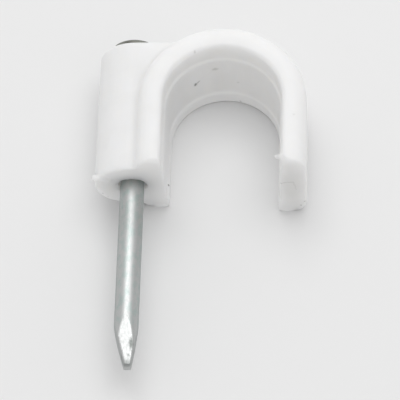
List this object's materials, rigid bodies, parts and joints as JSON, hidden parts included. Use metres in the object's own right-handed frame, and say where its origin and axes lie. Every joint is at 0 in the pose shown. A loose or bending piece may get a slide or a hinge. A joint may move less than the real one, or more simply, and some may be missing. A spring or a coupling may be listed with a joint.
{
  "type": "nail-in cable clip",
  "caption": "White moulded hook with a stepped round cable channel and a round side boss that carries a plated steel nail, for fixing a cable to a wall.",
  "frame": {"origin": "on the cable's axis, half way along the hook's width", "axes": "+Z along the cable and up from the flat back that the clip lies on, -Y the way the nail points, +X from the boss towards the free leg"},
  "size_m": [0.0177, 0.0303, 0.0082],
  "materials": {
    "plastic": "white moulded, satin",
    "steel": "zinc plated, satin"
  },
  "bodies": {
    "root": {"clip_body": "plastic", "nail": "steel"}
  },
  "joints": []
}
